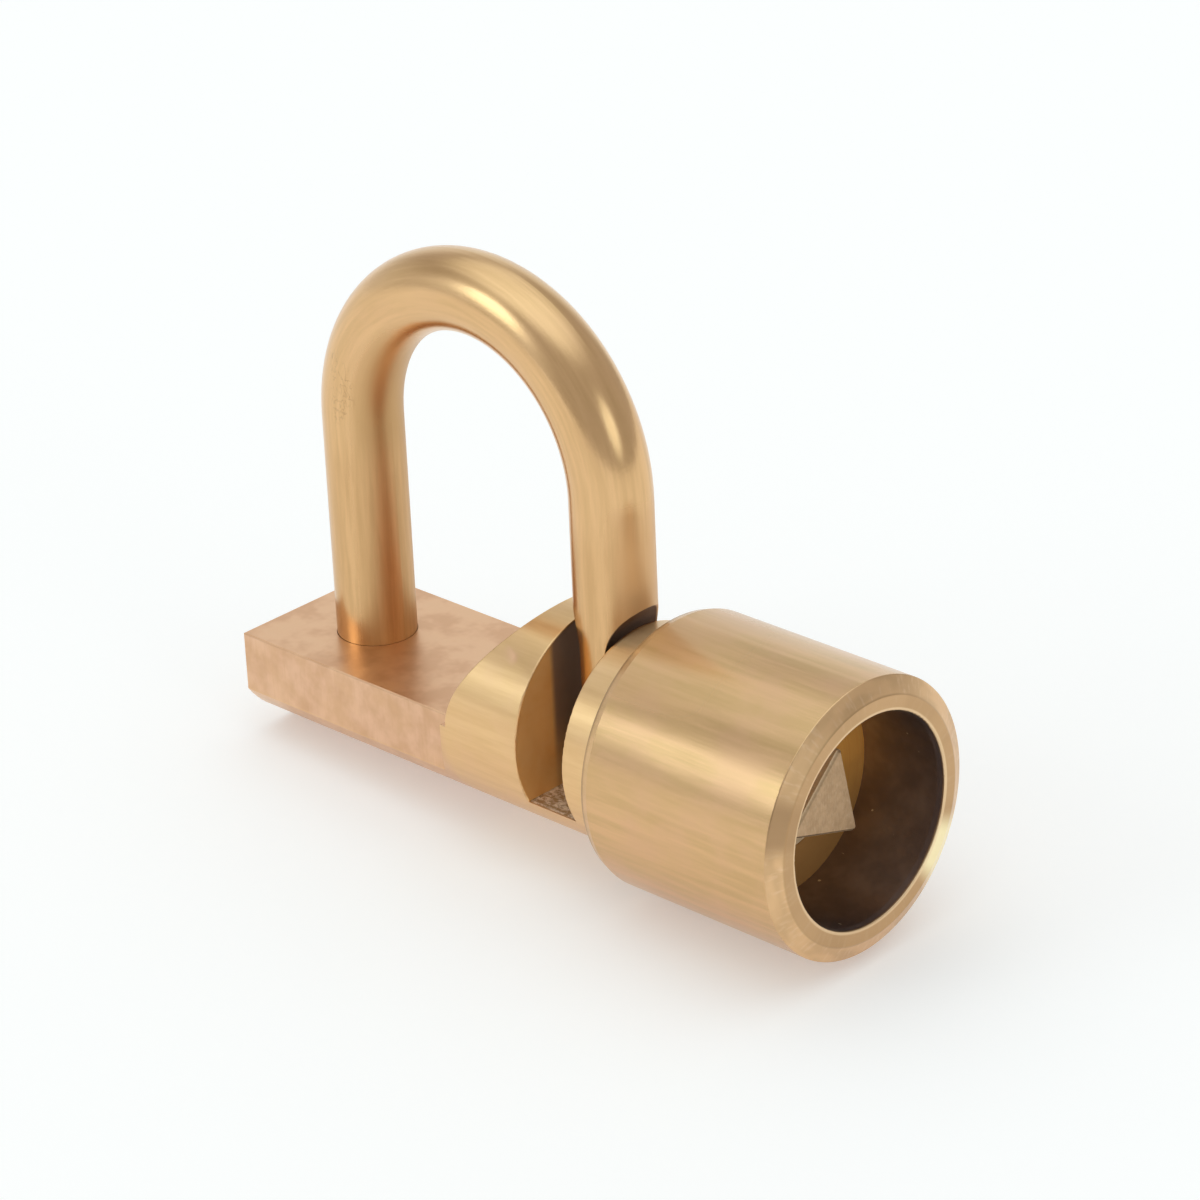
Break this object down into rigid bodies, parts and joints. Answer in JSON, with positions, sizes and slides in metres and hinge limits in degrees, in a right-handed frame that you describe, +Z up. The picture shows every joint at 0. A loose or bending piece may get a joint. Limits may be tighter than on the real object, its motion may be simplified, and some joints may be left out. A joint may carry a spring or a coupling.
{
  "type": "padlock",
  "caption": "Solid brass padlock cut from round bar: a swinging round-rod shackle, a cross slot for its free leg, and a deep round socket around a triangular key head.",
  "frame": {"origin": "on the bar's axis, midway between the shackle's two legs, in the plane of the block's top flat", "axes": "+X along the bar towards the key socket, +Z up along the shackle's legs, +Y across the bar"},
  "size_m": [0.0739, 0.0274, 0.0576],
  "materials": {
    "bar_brass": "milled and turned, satin",
    "shackle_brass": "drawn rod, satin",
    "tube_brass": "turned, satin",
    "floor_brass": "turned, darkened",
    "spindle_brass": "milled, dull",
    "bolt_brass": "turned",
    "pin_brass": "drawn"
  },
  "bodies": {
    "body": {"lock_body": "bar_brass", "heel_pin": "pin_brass", "guard_tube": "tube_brass", "spindle_retainer": "floor_brass", "bolt_key_pin": "pin_brass"},
    "shackle": {"shackle": "shackle_brass"},
    "spindle": {"spindle": "spindle_brass"},
    "bolt": {"locking_bolt": "bolt_brass"}
  },
  "joints": [
    {"name": "shackle_swing", "type": "hinge", "parent": "body", "child": "shackle", "pos_m": [-0.0165, 0, 0], "axis": [0, 0, 1], "continuous": true},
    {"name": "spindle_turn", "type": "hinge", "parent": "body", "child": "spindle", "pos_m": [0.0378, 0, 0], "axis": [1, 0, 0], "range_deg": [0, 1080]},
    {"name": "bolt_slide", "type": "slide", "parent": "body", "child": "bolt", "axis": [-1, 0, 0], "range_m": [0, 0.00375]}
  ],
  "couplings": [
    {"joint": "bolt_slide", "follows": "spindle_turn", "m_per_rad": 0.00019894}
  ]
}
